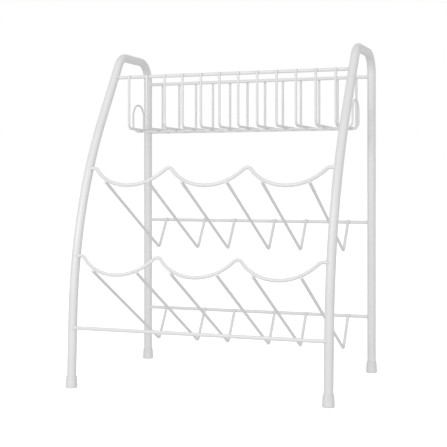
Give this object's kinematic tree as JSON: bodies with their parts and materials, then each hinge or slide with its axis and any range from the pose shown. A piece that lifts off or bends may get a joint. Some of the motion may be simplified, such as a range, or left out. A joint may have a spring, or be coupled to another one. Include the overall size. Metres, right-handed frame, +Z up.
{
  "type": "wine rack",
  "caption": "Free-standing wire wine rack: bent-tube side frames, sloping bottle supports in two tiers behind scalloped wires, and a wire basket on top.",
  "frame": {"origin": "on the floor, at the middle of the footprint", "axes": "+X to the right as seen from the front, +Y to the back, +Z up"},
  "size_m": [0.397, 0.2829, 0.5],
  "materials": {
    "powder_coated_steel": "white semi-gloss powder coat",
    "foot_cap": "matte off-white moulded plastic"
  },
  "bodies": {
    "root": {"left_side_frame": "powder_coated_steel", "right_side_frame": "powder_coated_steel", "basket_front_rail": "powder_coated_steel", "basket_rear_rail": "powder_coated_steel", "upper_rear_rail": "powder_coated_steel", "lower_rear_rail": "powder_coated_steel", "lower_front_bar": "powder_coated_steel", "upper_wave_wire": "powder_coated_steel", "lower_wave_wire": "powder_coated_steel", "upper_support_1": "powder_coated_steel", "upper_support_2": "powder_coated_steel", "upper_support_3": "powder_coated_steel", "upper_support_4": "powder_coated_steel", "upper_support_5": "powder_coated_steel", "upper_support_6": "powder_coated_steel", "lower_support_1": "powder_coated_steel", "lower_support_2": "powder_coated_steel", "lower_support_3": "powder_coated_steel", "lower_support_4": "powder_coated_steel", "lower_support_5": "powder_coated_steel", "lower_support_6": "powder_coated_steel", "basket_cross_wire_01": "powder_coated_steel", "basket_cross_wire_02": "powder_coated_steel", "basket_cross_wire_03": "powder_coated_steel", "basket_cross_wire_04": "powder_coated_steel", "basket_cross_wire_05": "powder_coated_steel", "basket_cross_wire_06": "powder_coated_steel", "basket_cross_wire_07": "powder_coated_steel", "basket_cross_wire_08": "powder_coated_steel", "basket_cross_wire_09": "powder_coated_steel", "basket_cross_wire_10": "powder_coated_steel", "basket_cross_wire_11": "powder_coated_steel", "basket_cross_wire_12": "powder_coated_steel", "basket_floor_loop": "powder_coated_steel", "foot_front_left": "foot_cap", "foot_front_right": "foot_cap", "foot_rear_left": "foot_cap", "foot_rear_right": "foot_cap"}
  },
  "joints": []
}
